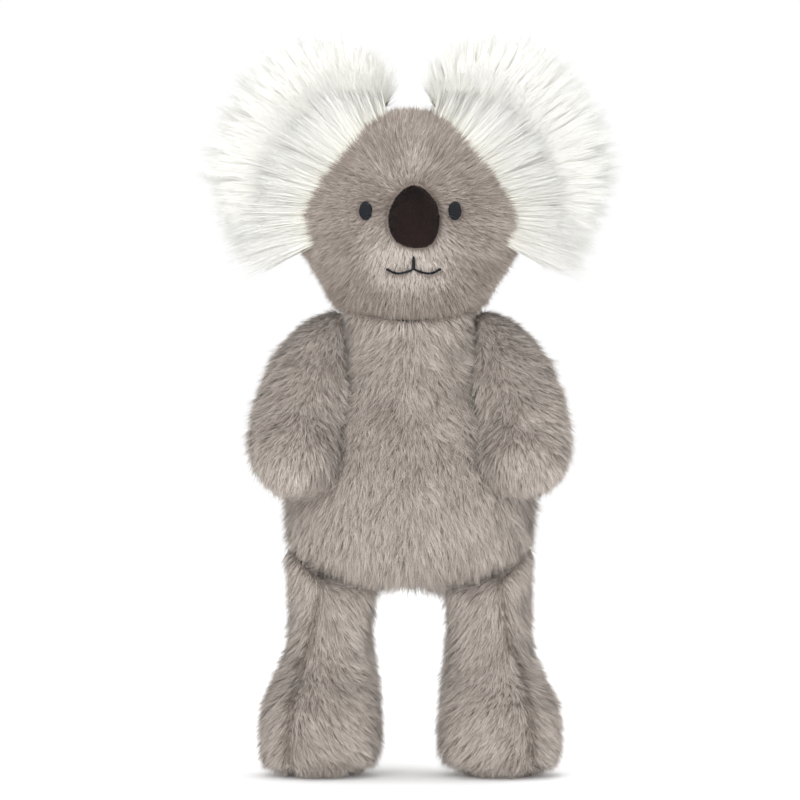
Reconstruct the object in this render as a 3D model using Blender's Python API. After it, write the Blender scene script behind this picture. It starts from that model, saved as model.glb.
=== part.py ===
"""A standing plush koala: plush covers sewn round stuffing, with limbs and ears that swing on their seams.

It faces -Y with its feet on Z = 0. Left and right are the animal's own, so left is at +X.
"""

import math

import bmesh
import bpy
from mathutils import Matrix, Vector

# Cloth, gaps and cuts shared by every piece
PLUSH = 0.006
SEAM_GAP = 0.0003
STUFFING_GAP = 0.0007
ROLLING_GAP = 0.0008
OVERRUN = 0.004
SOLE_THICKNESS = 0.0075
SOLE_PRESS = 0.0005

# Body, from the crotch to above the neck
BODY_WIDTH = 0.115
BODY_DEPTH = 0.080
BODY_HEIGHT = 0.1365
BODY_BASE = 0.0855
BODY_SQUARENESS = 2.3

# Head, a ball that sits in a dish in the body
HEAD_RADIUS = 0.0505
HEAD_RISE_SHARE = 1.22
HEAD_FORWARD = 0.002
CHEEK_SWELL = 0.0045
CHEEK_BAND = 0.015
CHEEK_DROP = 0.001
MUZZLE_SWELL = 0.005
MUZZLE_BAND = 0.018
MUZZLE_DROP = 0.008
TEMPLE_DROP = 0.0028
TEMPLE_BAND = 0.014
TEMPLE_RISE = 0.036
NECK_HOLE_RADIUS = 0.017
NECK_THREAD_RADIUS = 0.0009
NECK_RING_RADIUS = 0.0235

# Nose, eyes and mouth
NOSE_WIDTH = 0.0235
NOSE_HEIGHT = 0.029
NOSE_PROUD = 0.0115
NOSE_DROP = 0.0003
NOSE_ASIDE = 0.0015
VELOUR = 0.0018
EYE_WIDTH = 0.0058
EYE_HEIGHT = 0.0085
EYE_PROUD = 0.0012
EYE_SPREAD = 0.0198
EYE_RISE = 0.0022
MOUTH_THREAD_RADIUS = 0.0008
MOUTH_WIDTH = 0.024
MOUTH_SAG = 0.0028
MOUTH_DROP = 0.0228
LIP_LINE_LENGTH = 0.0045

# Arms
SHOULDER_SPREAD_SHARE = 0.574
SHOULDER_RISE_SHARE = 0.758
SHOULDER_TOP = 0.024
ARM_REACH = 0.077
ARM_WIDTH = 0.044
ARM_THICKNESS = 0.036
ARM_LEAN = math.radians(40)
ARM_SWING = (0, math.radians(65))
SHOULDER_HOLE_RADIUS = 0.011
SHOULDER_HOLE_DEPTH = 0.010

# Legs and feet
HIP_FORWARD = 0.008
HIP_DROP = 0.0115
HIP_SEAT_REACH = 0.046
HIP_SEAT_WIDTH = 0.046
HIP_SEAT_TURN = math.radians(230)
LEG_SPREAD_SHARE = 0.617
LEG_OVERLAP = 0.0285
FOOT_WIDTH = 0.0576
FOOT_LENGTH = 0.062
LEG_SWING = (math.radians(-10), math.radians(60))
HIP_HOLE_RADIUS = 0.007
HIP_HOLE_DEPTH = 0.012

# Ears: a plush back panel and the mass of long pile in front of it
EAR_REACH = 0.045
EAR_BACK = 0.004
EAR_PANEL_THICKNESS = 0.005
EAR_PANEL_REACH = 0.030
PILE_DEPTH = 0.024
EAR_ROOT = 0.003
EAR_ROOT_CROWN = (0.008, 0.0495)
EAR_ROOT_CHEEK = (0.0505, -0.014)
EAR_FOLD = (math.radians(-20), math.radians(20))

# Outlines, as shares: along the piece from its lower end, then of half its width, of half its depth,
# of its width to the side and of its depth to the front
BODY_SHARES = (
    (0.000, 0.00, 0.00, 0.00, 0.00),
    (0.018, 0.38, 0.40, 0.00, 0.00),
    (0.048, 0.64, 0.66, 0.00, 0.00),
    (0.106, 0.88, 0.88, 0.00, 0.01),
    (0.180, 0.975, 0.98, 0.00, 0.02),
    (0.267, 1.00, 1.00, 0.00, 0.02),
    (0.385, 0.965, 0.965, 0.00, 0.02),
    (0.509, 0.84, 0.86, 0.00, 0.02),
    (0.620, 0.66, 0.75, 0.00, 0.02),
    (0.730, 0.57, 0.68, 0.00, 0.02),
    (0.840, 0.57, 0.65, 0.00, 0.02),
    (0.940, 0.58, 0.63, 0.00, 0.02),
    (0.985, 0.50, 0.55, 0.00, 0.02),
    (1.000, 0.00, 0.00, 0.00, 0.02),
)
ARM_SHARES = (
    (0.00, 0.00, 0.00, 0.40, 0.00),
    (0.03, 0.46, 0.50, 0.41, 0.00),
    (0.10, 0.84, 0.86, 0.42, 0.00),
    (0.21, 0.98, 0.98, 0.42, 0.00),
    (0.37, 1.00, 1.00, 0.41, 0.00),
    (0.56, 0.96, 1.02, 0.35, 0.00),
    (0.72, 0.88, 1.04, 0.27, 0.00),
    (0.86, 0.73, 0.98, 0.20, 0.00),
    (0.95, 0.48, 0.72, 0.17, 0.00),
    (1.00, 0.00, 0.00, 0.16, 0.00),
)
LEG_SHARES = (
    (0.000, 0.00, 0.00, 0.095, 0.115),
    (0.018, 0.70, 0.72, 0.095, 0.115),
    (0.050, 0.88, 0.89, 0.095, 0.115),
    (0.115, 0.99, 0.99, 0.085, 0.115),
    (0.205, 1.00, 1.00, 0.080, 0.112),
    (0.300, 0.96, 0.95, 0.072, 0.100),
    (0.390, 0.855, 0.83, 0.040, 0.065),
    (0.465, 0.75, 0.715, 0.012, 0.030),
    (0.560, 0.702, 0.655, 0.000, 0.012),
    (0.670, 0.710, 0.665, 0.000, 0.010),
    (0.800, 0.730, 0.680, 0.000, 0.010),
    (0.910, 0.700, 0.640, 0.000, 0.010),
    (0.970, 0.500, 0.440, 0.000, 0.010),
    (1.000, 0.00, 0.00, 0.000, 0.010),
)
# Ear outline, from the cheek end to the crown: share of the way round, then of its reach and of its depth
EAR_SHARES = (
    (0.00, 0.18, 0.10),
    (0.06, 0.50, 0.50),
    (0.17, 0.72, 0.85),
    (0.32, 0.90, 1.00),
    (0.50, 0.99, 1.00),
    (0.68, 1.00, 1.00),
    (0.82, 0.86, 0.90),
    (0.94, 0.48, 0.60),
    (1.00, 0.18, 0.10),
)
# Section of the pile, from its root forward and round: share of the reach, then of its depth
PILE_SECTION_SHARES = (
    (0.30, 0.50),
    (0.62, 0.96),
    (0.86, 0.76),
    (1.00, 0.20),
    (0.93, -0.20),
    (0.74, -0.22),
    (0.70, -0.05),
)
PANEL_SECTION_SHARES = ((0.45, 0.50), (0.88, 0.50), (1.00, 0.00), (0.88, -0.50), (0.45, -0.50))
# Nose outline from its top, clockwise for the viewer: shares of half its width and height
NOSE_SHARES = (
    (0.08, 1.00),
    (0.50, 0.80),
    (0.86, 0.46),
    (1.00, 0.02),
    (0.98, -0.40),
    (0.76, -0.84),
    (0.30, -1.00),
    (-0.34, -0.95),
    (-0.82, -0.68),
    (-1.00, -0.16),
    (-0.86, 0.36),
    (-0.46, 0.82),
)
PAD_SHARES = ((1.00, 0.00), (0.93, 0.42), (0.72, 0.76), (0.38, 0.95))

# Counts
BODY_SEGMENTS = 32
HEAD_SEGMENTS = 32
HEAD_RINGS = 18
LIMB_SEGMENTS = 24
NOSE_SEGMENTS = 24
EYE_SEGMENTS = 16
HOLE_SEGMENTS = 16
DISH_SEGMENTS = 32
RING_SEGMENTS = 32
RING_SIDES = 6
MOUTH_POINTS = 9
POSES = 11
SEAT_HALVINGS = 9
SEAT_STATIONS = 17
SEAT_TURNS = 24
SEAT_STEPS = 24

# Colours
GREY_PLUSH = (0.36, 0.32, 0.29, 1)
WHITE_PILE = (0.86, 0.86, 0.80, 1)
STUFFING_WHITE = (0.80, 0.80, 0.78, 1)
NOSE_BROWN = (0.045, 0.022, 0.022, 1)
CHARCOAL = (0.022, 0.024, 0.030, 1)
DULL = 0.95
SATIN = 0.45

# Places on the body, from shares of half its width and of its height
SHOULDER_SPREAD = SHOULDER_SPREAD_SHARE * BODY_WIDTH / 2
SHOULDER_HEIGHT = BODY_BASE + SHOULDER_RISE_SHARE * BODY_HEIGHT
LEG_SPREAD = LEG_SPREAD_SHARE * BODY_WIDTH / 2
LEG_TOP = BODY_BASE + LEG_OVERLAP
HIP_HEIGHT = BODY_BASE - HIP_DROP
HEAD_CENTRE = Vector((0, -HEAD_FORWARD, BODY_BASE + HEAD_RISE_SHARE * BODY_HEIGHT))
SIDES = (("left", 1), ("right", -1))


def material(name, colour, roughness):
    """A cloth or thread finish; all are non-metals."""
    made = bpy.data.materials.new(name)
    made.use_nodes = True
    shader = made.node_tree.nodes["Principled BSDF"]
    shader.inputs["Base Color"].default_value = colour
    shader.inputs["Roughness"].default_value = roughness
    shader.inputs["Metallic"].default_value = 0
    made.diffuse_color = colour
    return made


def place(name, bm, finish, parent=None):
    """Turn a bmesh made in world coordinates into an object, with its origin at its parent's."""
    mesh = bpy.data.meshes.new(name)
    bm.to_mesh(mesh)
    bm.free()
    obj = bpy.data.objects.new(name, mesh)
    bpy.context.scene.collection.objects.link(obj)
    if finish:
        mesh.materials.append(finish)
    if parent:
        mesh.transform(Matrix.Translation(-parent.matrix_world.translation))
        obj.parent = parent
    mesh.shade_smooth()
    mesh.set_sharp_from_angle(angle=math.radians(50))
    return obj


def joint(name, at, parent=None):
    """An empty on a joint's axis, which carries the pieces that turn with it."""
    empty = bpy.data.objects.new(name, None)
    bpy.context.scene.collection.objects.link(empty)
    empty.location = at
    if parent:
        empty.parent = parent
        empty.location = at - parent.matrix_world.translation
    bpy.context.view_layer.update()
    return empty


def cut(obj, tool, operation="DIFFERENCE"):
    """Leave a Boolean on the object; its tool is a guide that isn't part of the model."""
    tool.hide_render = True
    tool.display_type = "WIRE"
    modifier = obj.modifiers.new(tool.name, "BOOLEAN")
    modifier.operation = operation
    modifier.solver = "EXACT"
    modifier.object = tool


def smooth_rows(rows, steps):
    """The rows of an outline with more between them, on a smooth curve; its ends may be round poles."""

    def beyond(row):
        return (row[0], *(-share for share in row[1:3]), *row[3:])

    ends = rows[0][1] == 0
    before = beyond(rows[1]) if ends else rows[0]
    after = beyond(rows[-2]) if ends else rows[-1]
    points = [before, *rows, after]
    found = []
    for i in range(1, len(rows)):
        a, b, c, d = points[i - 1 : i + 3]
        for k in range(steps):
            t = k / steps
            found.append(
                tuple(
                    (2 * q + (r - p) * t + (2 * p - 5 * q + 4 * r - s) * t * t + (3 * q - p - 3 * r + s) * t**3) / 2
                    for p, q, r, s in zip(a, b, c, d)
                )
            )
    found.append(tuple(rows[-1]))
    return found


def round_section(count, squareness):
    """Points of a unit oval, squarer as the number grows past 2."""
    points = []
    for i in range(count):
        angle = 2 * math.pi * i / count
        across, along = math.cos(angle), math.sin(angle)
        points.append(
            (
                math.copysign(abs(across) ** (2 / squareness), across),
                math.copysign(abs(along) ** (2 / squareness), along),
            )
        )
    return points


def swelling_form(shares, size, base, count, steps, squareness=2):
    """Rings of a stuffed form about +Z: size is its width, depth and height, and base its lower end."""
    width, depth, height = size
    rings = []
    for up, wide, deep, aside, ahead in smooth_rows(shares, steps):
        centre = Vector((aside * width, -ahead * depth, up * height)) + base
        half = Vector((wide * width / 2, deep * depth / 2))
        section = round_section(count, squareness) if wide else [(0, 0)]
        rings.append([centre + Vector((x * half.x, y * half.y, 0)) for x, y in section])
    return rings


def skinned(rings):
    """A closed bmesh over rings; a first or last ring of one point is a pole."""
    bm = bmesh.new()
    made = [[bm.verts.new(point) for point in ring] for ring in rings]
    for low, high in zip(made, made[1:]):
        count = max(len(low), len(high))
        for i in range(count):
            k = (i + 1) % count
            corners = [low[i % len(low)], low[k % len(low)], high[k % len(high)], high[i % len(high)]]
            bm.faces.new(list(dict.fromkeys(corners)))
    for end in (made[0], made[-1]):
        if len(end) > 1:
            bm.faces.new(end)
    bmesh.ops.recalc_face_normals(bm, faces=bm.faces)
    return bm


def inset(bm, depth):
    """Move a closed surface inwards along its normals."""
    bm.normal_update()
    moved = [(vertex, vertex.co - vertex.normal * depth) for vertex in bm.verts]
    for vertex, point in moved:
        vertex.co = point
    return bm


def shrunk(bm, depth):
    """A copy of a closed surface, a little inside it."""
    return inset(bm.copy(), depth)


def sided(bm, mirror):
    """The left's form, or its mirror image for the right."""
    if mirror < 0:
        bmesh.ops.scale(bm, vec=(-1, 1, 1), verts=bm.verts)
        bmesh.ops.reverse_faces(bm, faces=bm.faces)
    return bm


def box(name, low, high):
    bm = bmesh.new()
    bmesh.ops.create_cube(bm, size=1)
    middle = (low + high) / 2
    bmesh.ops.scale(bm, vec=high - low, verts=bm.verts)
    bmesh.ops.translate(bm, vec=middle, verts=bm.verts)
    return place(name, bm, None)


def rod(name, start, end, radius):
    """A round cutter between two points."""
    bm = bmesh.new()
    along = end - start
    turn = along.to_track_quat("Z", "Y").to_matrix().to_4x4()
    bmesh.ops.create_cone(
        bm,
        cap_ends=True,
        segments=HOLE_SEGMENTS,
        radius1=radius,
        radius2=radius,
        depth=along.length,
        matrix=Matrix.Translation((start + end) / 2) @ turn,
    )
    return place(name, bm, None)


def ball(name, centre, radius, segments):
    """A ball whose flat faces lie outside the true radius."""
    bm = bmesh.new()
    bmesh.ops.create_uvsphere(
        bm,
        u_segments=segments,
        v_segments=segments // 2,
        radius=radius / math.cos(math.pi / segments) ** 2,
        matrix=Matrix.Translation(centre) @ Matrix.Rotation(math.pi / segments, 4, "Z"),
    )
    return place(name, bm, None)


def swings(about, axis, limits):
    """The turns of a joint, from one limit to the other."""
    first, last = limits
    turns = []
    for i in range(POSES):
        angle = first + (last - first) * i / (POSES - 1)
        turn = Matrix.Translation(about) @ Matrix.Rotation(angle, 4, axis) @ Matrix.Translation(-about)
        turns.append(turn)
    return turns


def seated(bm, towards, turns, blocked, step):
    """Move a form's points just clear of a neighbour, at rest and all through a joint's swing."""

    def hits(point):
        return any(blocked(turn @ point) for turn in turns)

    for vertex in bm.verts:
        point = vertex.co.copy()
        way = towards(point)
        near, far = 0, 0
        while far < BODY_WIDTH and hits(point + way * far):
            near, far = far, far + step
        for _ in range(SEAT_HALVINGS if far else 0):
            middle = (near + far) / 2
            near, far = (middle, far) if hits(point + way * middle) else (near, middle)
        vertex.co = point + way * far
    # The moved faces aren't flat, and a cover's hollow and its filling have to bend alike.
    bmesh.ops.triangulate(bm, faces=bm.faces)
    return bm


def body_sections():
    """Height, half width, half depth and middle of the body, closely spaced."""
    found = []
    for up, wide, deep, _, ahead in smooth_rows(BODY_SHARES, 8):
        found.append(
            (BODY_BASE + up * BODY_HEIGHT, wide * BODY_WIDTH / 2, deep * BODY_DEPTH / 2, -ahead * BODY_DEPTH)
        )
    return found


BODY_SECTIONS = body_sections()


def in_body(point, clear):
    """Whether a point lies in the body grown by a clearance."""
    for height in (point.z - clear, point.z, point.z + clear):
        for low, high in zip(BODY_SECTIONS, BODY_SECTIONS[1:]):
            if low[0] <= height < high[0]:
                t = (height - low[0]) / (high[0] - low[0])
                wide, deep, middle = (a + (b - a) * t for a, b in zip(low[1:], high[1:]))
                across = abs(point.x) / (wide + clear)
                along = abs(point.y - middle) / (deep + clear)
                if across**BODY_SQUARENESS + along**BODY_SQUARENESS < 1:
                    return True
    return False


def bump(distance, band):
    return math.exp(-((distance / band) ** 2))


def head_radius(way):
    """The head's radius in a direction: a ball below, with cheeks and a muzzle, and drawn in at the temples."""
    rise = way.z * HEAD_RADIUS
    radius = HEAD_RADIUS + CHEEK_SWELL * bump(rise + CHEEK_DROP, CHEEK_BAND) * way.x**2
    if way.y < 0:
        radius += MUZZLE_SWELL * bump(rise + MUZZLE_DROP, MUZZLE_BAND) * way.y**4
    return radius - TEMPLE_DROP * bump(rise - TEMPLE_RISE, TEMPLE_BAND) * abs(way.x)


def in_head(point, clear):
    offset = point - HEAD_CENTRE
    return offset.length < head_radius(offset.normalized()) + clear


def head_form():
    rings = []
    for k in range(HEAD_RINGS + 1):
        polar = math.pi * k / HEAD_RINGS
        ring = []
        for i in range(HEAD_SEGMENTS if 0 < k < HEAD_RINGS else 1):
            turn = 2 * math.pi * i / HEAD_SEGMENTS
            way = Vector((math.sin(polar) * math.cos(turn), math.sin(polar) * math.sin(turn), -math.cos(polar)))
            ring.append(HEAD_CENTRE + way * head_radius(way))
        rings.append(ring)
    return rings


def on_face(across, rise, proud):
    """The point in front of the face at a place seen from the front, standing proud of it."""
    depth = HEAD_RADIUS
    for _ in range(12):
        way = Vector((across, -depth, rise)).normalized()
        radius = head_radius(way) + proud
        depth = math.sqrt(max(radius**2 - across**2 - rise**2, 0))
    return HEAD_CENTRE + Vector((across, -depth, rise))


def make_torso(parent, plush, stuffing):
    form = (BODY_SHARES, (BODY_WIDTH, BODY_DEPTH, BODY_HEIGHT), Vector((0, 0, BODY_BASE)))
    cover = place(
        "body_cover",
        skinned(swelling_form(*form, BODY_SEGMENTS, 1, BODY_SQUARENESS)),
        plush,
        parent,
    )
    coarse = (*form, BODY_SEGMENTS // 2, 1, BODY_SQUARENESS)
    hollow = place("body_hollow", inset(skinned(swelling_form(*coarse)), PLUSH), None)
    filling = place("body_stuffing", inset(skinned(swelling_form(*coarse)), PLUSH + SEAM_GAP), stuffing, parent)
    for obj, extra in ((cover, 0), (hollow, PLUSH), (filling, PLUSH + SEAM_GAP)):
        cut(obj, ball(obj.name + "_dish", HEAD_CENTRE, HEAD_RADIUS + ROLLING_GAP + extra, DISH_SEGMENTS))
    cut(cover, hollow)
    groove_at = NECK_THREAD_RADIUS + SEAM_GAP
    cut(cover, neck_ring("neck_groove", groove_at, None, None))
    return cover


def neck_ring(name, radius, finish, parent):
    """A ring of thread round the neck, just below the head's ball."""
    away = HEAD_RADIUS + ROLLING_GAP + SEAM_GAP + NECK_THREAD_RADIUS
    drop = math.sqrt(away**2 - NECK_RING_RADIUS**2)
    centre = HEAD_CENTRE - Vector((0, 0, drop))
    bm = bmesh.new()
    rings = []
    for i in range(RING_SEGMENTS):
        turn = 2 * math.pi * i / RING_SEGMENTS
        out = Vector((math.cos(turn), math.sin(turn), 0))
        ring = []
        for k in range(RING_SIDES):
            roll = 2 * math.pi * (k + 0.5) / RING_SIDES
            ring.append(
                bm.verts.new(
                    centre
                    + out * (NECK_RING_RADIUS + radius * math.cos(roll))
                    + Vector((0, 0, radius * math.sin(roll)))
                )
            )
        rings.append(ring)
    for i, ring in enumerate(rings):
        after = rings[(i + 1) % RING_SEGMENTS]
        for k in range(RING_SIDES):
            m = (k + 1) % RING_SIDES
            bm.faces.new((ring[k], ring[m], after[m], after[k]))
    bmesh.ops.recalc_face_normals(bm, faces=bm.faces)
    return place(name, bm, finish, parent)


def make_head(parent, plush, stuffing):
    cover = place("head_cover", skinned(head_form()), plush, parent)
    coarse = [ring[::2] if len(ring) > 1 else ring for ring in head_form()[::2]]
    hollow = place("head_hollow", inset(skinned(coarse), PLUSH), None)
    place("head_stuffing", inset(skinned(coarse), PLUSH + SEAM_GAP), stuffing, parent)
    cut(cover, hollow)
    return cover


def pad(name, outline, centre, proud, clear, finish, parent, under=None):
    """A domed pad that lies on the face: outline gives offsets from its centre, across and up."""
    across, rise = centre
    under = clear if under is None else under
    rings = [[on_face(across, rise, under)]]
    for share in (1 / 3, 2 / 3) if under == clear else (1 / 2, 1):
        rings.append([on_face(across + x * share, rise + z * share, under) for x, z in outline])
    for share, height in PAD_SHARES:
        rings.append([on_face(across + x * share, rise + z * share, clear + height * proud) for x, z in outline])
    rings.append([on_face(across, rise, clear + proud)])
    return place(name, skinned(rings), finish, parent)


def scaled_outline(shares, width, height):
    return [(x * width / 2, z * height / 2) for x, z in shares]


def smooth_loop(points, count):
    """A closed smooth curve through a few points."""
    total = len(points)
    found = []
    for i in range(count):
        place_on = i * total / count
        k = int(place_on)
        t = place_on - k
        a, b, c, d = (points[(k + n) % total] for n in (-1, 0, 1, 2))
        found.append(
            tuple(
                (2 * q + (r - p) * t + (2 * p - 5 * q + 4 * r - s) * t * t + (3 * q - p - 3 * r + s) * t**3) / 2
                for p, q, r, s in zip(a, b, c, d)
            )
        )
    return found


def make_nose(parent, velour, stuffing):
    centre = (NOSE_ASIDE, -NOSE_DROP)

    def outline(less):
        return scaled_outline(
            smooth_loop(NOSE_SHARES, NOSE_SEGMENTS), NOSE_WIDTH - 2 * less, NOSE_HEIGHT - 2 * less
        )

    inner = VELOUR + SEAM_GAP
    cover = pad("nose_cover", outline(0), centre, NOSE_PROUD, SEAM_GAP, velour, parent)
    hollow = pad("nose_hollow", outline(VELOUR), centre, NOSE_PROUD - VELOUR, 0, None, None, -OVERRUN)
    cut(cover, hollow)
    pad("nose_stuffing", outline(inner), centre, NOSE_PROUD - inner - SEAM_GAP, SEAM_GAP, stuffing, parent)


def make_eyes(parent, thread):
    ring = [(x * EYE_WIDTH / 2, z * EYE_HEIGHT / 2) for x, z in round_section(EYE_SEGMENTS, 2)]
    for side, mirror in SIDES:
        pad("eye_" + side, ring, (mirror * EYE_SPREAD, EYE_RISE), EYE_PROUD, SEAM_GAP, thread, parent)


def thread_line(name, path, thread, parent):
    """A line of satin stitch along the face: path gives places across and up."""
    curve = bpy.data.curves.new(name, "CURVE")
    curve.dimensions = "3D"
    curve.bevel_depth = MOUTH_THREAD_RADIUS
    curve.bevel_resolution = 2
    curve.use_fill_caps = True
    spline = curve.splines.new("POLY")
    spline.points.add(len(path) - 1)
    origin = parent.matrix_world.translation
    for point, (across, rise) in zip(spline.points, path):
        point.co = (*(on_face(across, rise, MOUTH_THREAD_RADIUS + SEAM_GAP) - origin), 1)
    curve.materials.append(thread)
    obj = bpy.data.objects.new(name, curve)
    bpy.context.scene.collection.objects.link(obj)
    obj.parent = parent


def make_mouth(parent, thread):
    half = MOUTH_WIDTH / 2
    for side, mirror in SIDES:
        path = []
        for i in range(MOUTH_POINTS):
            share = i / (MOUTH_POINTS - 1)
            start = MOUTH_THREAD_RADIUS + SEAM_GAP
            across = start + (half - start) * share
            sag = MOUTH_SAG * math.sin(math.pi * min(share * 0.86 + 0.06, 1))
            path.append((NOSE_ASIDE + mirror * across, -MOUTH_DROP - sag))
        thread_line("mouth_stitch_" + side, path, thread, parent)
    top = -MOUTH_DROP + LIP_LINE_LENGTH
    bottom = -MOUTH_DROP + MOUTH_THREAD_RADIUS
    path = [(NOSE_ASIDE, top + (bottom - top) * i / 3) for i in range(4)]
    thread_line("lip_stitch", path, thread, parent)


def arm_form(count, steps, depth=0):
    """The left arm, leaning forward from the shoulder and lying against the body, inset by a depth."""
    length = SHOULDER_TOP + ARM_REACH
    size = (ARM_WIDTH, ARM_THICKNESS, length)
    upright = swelling_form(ARM_SHARES, size, Vector((0, 0, -ARM_REACH)), count, steps, 2.1)
    form = inset(skinned(upright), depth)
    shoulder = Vector((SHOULDER_SPREAD, 0, SHOULDER_HEIGHT))
    lean = Matrix.Translation(shoulder) @ Matrix.Rotation(-ARM_LEAN, 4, "X")
    bmesh.ops.transform(form, matrix=lean, verts=form.verts)

    def towards(point):
        return Vector((point.x, point.y, 0)).normalized()

    def blocked(point):
        return in_body(point, ROLLING_GAP + depth)

    swing = (-ARM_SWING[1], -ARM_SWING[0])
    return seated(form, towards, swings(shoulder, "X", swing), blocked, PLUSH / 2)


def make_arms(torso, body_cover, plush, stuffing):
    outer = arm_form(LIMB_SEGMENTS, 2)
    inner = arm_form(LIMB_SEGMENTS // 2, 1, PLUSH)
    for side, mirror in SIDES:
        shoulder = Vector((mirror * SHOULDER_SPREAD, 0, SHOULDER_HEIGHT))
        pivot = joint("arm_" + side, shoulder, torso)
        cover = place("arm_cover_" + side, sided(outer.copy(), mirror), plush, pivot)
        hollow = place("arm_hollow_" + side, sided(inner.copy(), mirror), None)
        place("arm_stuffing_" + side, sided(shrunk(inner, STUFFING_GAP), mirror), stuffing, pivot)
        cut(cover, hollow)
        reach = Vector((SHOULDER_HOLE_DEPTH, 0, 0))
        hole = rod("shoulder_hole_" + side, shoulder - reach, shoulder + reach, SHOULDER_HOLE_RADIUS)
        cut(cover, hole)
        cut(body_cover, hole)


def leg_form(count, steps, depth):
    """The left leg and foot before its top is cut to fit under the body, inset by a depth."""
    size = (FOOT_WIDTH, FOOT_LENGTH, LEG_TOP + SOLE_PRESS)
    base = Vector((LEG_SPREAD, 0, -SOLE_PRESS))
    return inset(skinned(swelling_form(LEG_SHARES, size, base, count, steps, 2.2)), depth)


def body_distance(hip, angle, clear):
    """How far the body is from a point on the hip's axis, at an angle from straight up towards the back."""
    way = Vector((0, math.sin(angle), math.cos(angle)))
    step = HIP_SEAT_REACH / SEAT_STEPS
    far = step
    while far < HIP_SEAT_REACH and not in_body(hip + way * far, clear):
        far += step
    near = far - step
    for _ in range(SEAT_HALVINGS):
        middle = (near + far) / 2
        near, far = (near, middle) if in_body(hip + way * middle, clear) else (middle, far)
    return near


def hip_seat(depth):
    """The space over the left leg that the body takes up as the leg swings, grown by a depth."""
    turn = HIP_SEAT_TURN / SEAT_TURNS
    back = math.ceil(-LEG_SWING[0] / turn)
    ahead = math.ceil(LEG_SWING[1] / turn)
    rings = []
    for i in range(SEAT_STATIONS):
        across = LEG_SPREAD + HIP_SEAT_WIDTH * (i / (SEAT_STATIONS - 1) - 1 / 2)
        hip = Vector((across, -HIP_FORWARD, HIP_HEIGHT))
        angles = [(k - SEAT_TURNS / 2) * turn for k in range(-back, SEAT_TURNS + 1 + ahead)]
        found = [body_distance(hip, angle, ROLLING_GAP + depth) for angle in angles]
        inner = []
        outer = []
        for k in range(SEAT_TURNS + 1):
            angle = (k - SEAT_TURNS / 2) * turn
            way = Vector((0, math.sin(angle), math.cos(angle)))
            inner.append(hip + way * min(found[k : k + back + ahead + 1]))
            outer.append(hip + way * (HIP_SEAT_REACH + OVERRUN))
        rings.append(inner + outer[::-1])
    return skinned(rings)


def make_legs(torso, body_cover, plush, stuffing):
    outer = leg_form(LIMB_SEGMENTS, 1, 0)
    inner = leg_form(LIMB_SEGMENTS // 2, 1, PLUSH)
    core = leg_form(LIMB_SEGMENTS // 2, 1, PLUSH + SEAM_GAP)
    over_outer = hip_seat(0)
    over_inner = hip_seat(PLUSH)
    over_core = hip_seat(PLUSH + SEAM_GAP)
    reach = Vector((FOOT_WIDTH, FOOT_LENGTH, 0))
    under = Vector((0, 0, FOOT_LENGTH))
    for side, mirror in SIDES:
        hip = Vector((mirror * LEG_SPREAD, -HIP_FORWARD, HIP_HEIGHT))
        pivot = joint("leg_" + side, hip, torso)
        middle = Vector((mirror * LEG_SPREAD, 0, 0))
        top = middle + reach + Vector((0, 0, SOLE_THICKNESS))
        floor = box("floor_" + side, middle - reach - under, middle + reach)
        low = box("below_sole_" + side, middle - reach - under, top)
        high = box("below_cover_" + side, middle - reach - under, top + Vector((0, 0, SEAM_GAP)))
        cover = place("leg_cover_" + side, sided(outer.copy(), mirror), plush, pivot)
        hollow = place("leg_hollow_" + side, sided(inner.copy(), mirror), None)
        filling = place("leg_stuffing_" + side, sided(core.copy(), mirror), stuffing, pivot)
        sole = place("foot_sole_" + side, sided(outer.copy(), mirror), plush, pivot)
        cut(cover, place("over_leg_" + side, sided(over_outer.copy(), mirror), None))
        cut(hollow, place("over_hollow_" + side, sided(over_inner.copy(), mirror), None))
        cut(filling, place("over_stuffing_" + side, sided(over_core.copy(), mirror), None))
        cut(cover, hollow)
        cut(cover, high)
        cut(filling, high)
        cut(sole, low, "INTERSECT")
        cut(sole, floor)
        depth = Vector((0, 0, HIP_HOLE_DEPTH))
        seat = Vector((hip.x, 0, BODY_BASE + HIP_HOLE_RADIUS / 2))
        hole = rod("hip_hole_" + side, seat - depth, seat + depth, HIP_HOLE_RADIUS)
        cut(cover, hole)
        cut(body_cover, hole)


def ear_form(section, reach, depth, middle):
    """A fan round the left of the head: each section runs from its root, forward, over the rim and back."""
    crown = math.atan2(EAR_ROOT_CROWN[1], EAR_ROOT_CROWN[0])
    cheek = math.atan2(EAR_ROOT_CHEEK[1], EAR_ROOT_CHEEK[0])
    rings = []
    for way_round, out, thick in smooth_rows(EAR_SHARES, 2):
        angle = cheek + (crown - cheek) * way_round
        way = Vector((math.cos(angle), 0, math.sin(angle)))
        ring = [(HEAD_RADIUS, middle - EAR_ROOT / 2)]
        for far, forward in section:
            ring.append((HEAD_RADIUS + reach * out * far, middle - depth * thick * forward))
        ring.append((HEAD_RADIUS, middle + EAR_ROOT / 2))
        rings.append([HEAD_CENTRE + way * r + Vector((0, y, 0)) for r, y in ring])
    return skinned(rings)


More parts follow.
